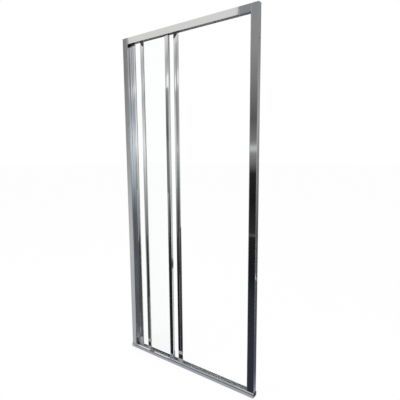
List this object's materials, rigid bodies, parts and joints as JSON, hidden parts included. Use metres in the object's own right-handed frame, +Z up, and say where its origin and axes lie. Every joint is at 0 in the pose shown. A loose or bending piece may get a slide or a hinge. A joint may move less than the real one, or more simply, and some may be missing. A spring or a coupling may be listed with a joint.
{
  "type": "sliding shower door",
  "caption": "Framed sliding shower door in bright polished aluminium, with a fixed clear pane and panes that slide past it in a header and sill to open the doorway",
  "frame": {"origin": "centre of the underside of the sill", "axes": "+X along the door towards its closing side, +Y from the room into the shower, +Z up"},
  "size_m": [0.87, 0.038, 1.9],
  "materials": {
    "bright_aluminium": "aluminium extrusion, mechanically polished and bright anodised to a mirror",
    "clear_glass": "clear toughened float glass, faintly green at its edges",
    "black_plastic": "moulded black nylon, fine matt texture",
    "grey_plastic": "moulded light grey acetal, satin",
    "cap_plastic": "moulded grey cap, semi-gloss",
    "clear_vinyl": "translucent soft vinyl",
    "pile": "woven pile weather strip",
    "seal_rubber": "soft extruded rubber, matt",
    "nylon": "white nylon, satin",
    "zinc_steel": "bright zinc-plated steel"
  },
  "bodies": {
    "door_frame": {"header_rail": "bright_aluminium", "sill_rail": "bright_aluminium", "left_jamb": "bright_aluminium", "right_jamb": "bright_aluminium", "left_wall_channel": "bright_aluminium", "right_wall_channel": "bright_aluminium", "left_jamb_cap": "cap_plastic", "right_jamb_cap": "cap_plastic", "left_sill_block": "black_plastic", "right_sill_block": "black_plastic", "jamb_screws": "zinc_steel", "header_screws": "zinc_steel", "sill_screws": "zinc_steel", "strike_seal": "seal_rubber", "park_bumpers": "seal_rubber", "fixed_glass": "clear_glass", "fixed_left_stile": "bright_aluminium", "fixed_right_stile": "bright_aluminium", "fixed_stile_screws": "zinc_steel", "fixed_top_block": "black_plastic", "fixed_top_rail": "bright_aluminium", "fixed_bottom_rail": "bright_aluminium", "fixed_glazing_gasket": "clear_vinyl", "fixed_foot_blocks": "grey_plastic"},
    "middle_panel": {"middle_glass": "clear_glass", "middle_left_stile": "bright_aluminium", "middle_right_stile": "bright_aluminium", "middle_top_rail": "bright_aluminium", "middle_bottom_rail": "bright_aluminium", "middle_glazing_gasket": "clear_vinyl", "middle_brush_seal": "pile", "middle_left_hanger_block": "black_plastic", "middle_right_hanger_block": "black_plastic", "middle_hanger_plates": "zinc_steel", "middle_axles": "zinc_steel", "middle_left_guide_shoe": "grey_plastic", "middle_right_guide_shoe": "grey_plastic", "middle_left_foot_cap": "grey_plastic"},
    "leading_panel": {"leading_glass": "clear_glass", "leading_left_stile": "bright_aluminium", "leading_right_stile": "bright_aluminium", "leading_top_rail": "bright_aluminium", "leading_bottom_rail": "bright_aluminium", "leading_glazing_gasket": "clear_vinyl", "leading_brush_seal": "pile", "leading_left_hanger_block": "black_plastic", "leading_right_hanger_block": "black_plastic", "leading_hanger_plates": "zinc_steel", "leading_axles": "zinc_steel", "leading_left_guide_shoe": "grey_plastic", "leading_right_guide_shoe": "grey_plastic", "leading_left_foot_cap": "grey_plastic", "leading_left_foot_neck": "black_plastic", "leading_right_foot_neck": "black_plastic", "leading_right_foot_cap": "grey_plastic"},
    "middle_left_roller": {"middle_left_wheel": "nylon"},
    "middle_right_roller": {"middle_right_wheel": "nylon"},
    "leading_left_roller": {"leading_left_wheel": "nylon"},
    "leading_right_roller": {"leading_right_wheel": "nylon"}
  },
  "joints": [
    {"name": "middle_panel_slide", "type": "slide", "parent": "door_frame", "child": "middle_panel", "axis": [1, 0, 0], "range_m": [0, 0.2471]},
    {"name": "leading_panel_slide", "type": "slide", "parent": "middle_panel", "child": "leading_panel", "axis": [1, 0, 0], "range_m": [-0.0502, 0.1721]},
    {"name": "middle_left_roller_turn", "type": "hinge", "parent": "middle_panel", "child": "middle_left_roller", "pos_m": [-0.3665, 0.0017, 1.8868], "axis": [0, 1, 0], "continuous": true},
    {"name": "middle_right_roller_turn", "type": "hinge", "parent": "middle_panel", "child": "middle_right_roller", "pos_m": [-0.106, 0.0017, 1.8868], "axis": [0, 1, 0], "continuous": true},
    {"name": "leading_left_roller_turn", "type": "hinge", "parent": "leading_panel", "child": "leading_left_roller", "pos_m": [-0.292, -0.0065, 1.8868], "axis": [0, 1, 0], "continuous": true},
    {"name": "leading_right_roller_turn", "type": "hinge", "parent": "leading_panel", "child": "leading_right_roller", "pos_m": [-0.0315, -0.0065, 1.8868], "axis": [0, 1, 0], "continuous": true}
  ],
  "couplings": [
    {"joint": "middle_left_roller_turn", "follows": "middle_panel_slide", "rad_per_m": 153.85},
    {"joint": "middle_right_roller_turn", "follows": "middle_panel_slide", "rad_per_m": 153.85},
    {"joint": "leading_left_roller_turn", "follows": "leading_panel_slide", "rad_per_m": 153.85},
    {"joint": "leading_right_roller_turn", "follows": "leading_panel_slide", "rad_per_m": 153.85}
  ]
}
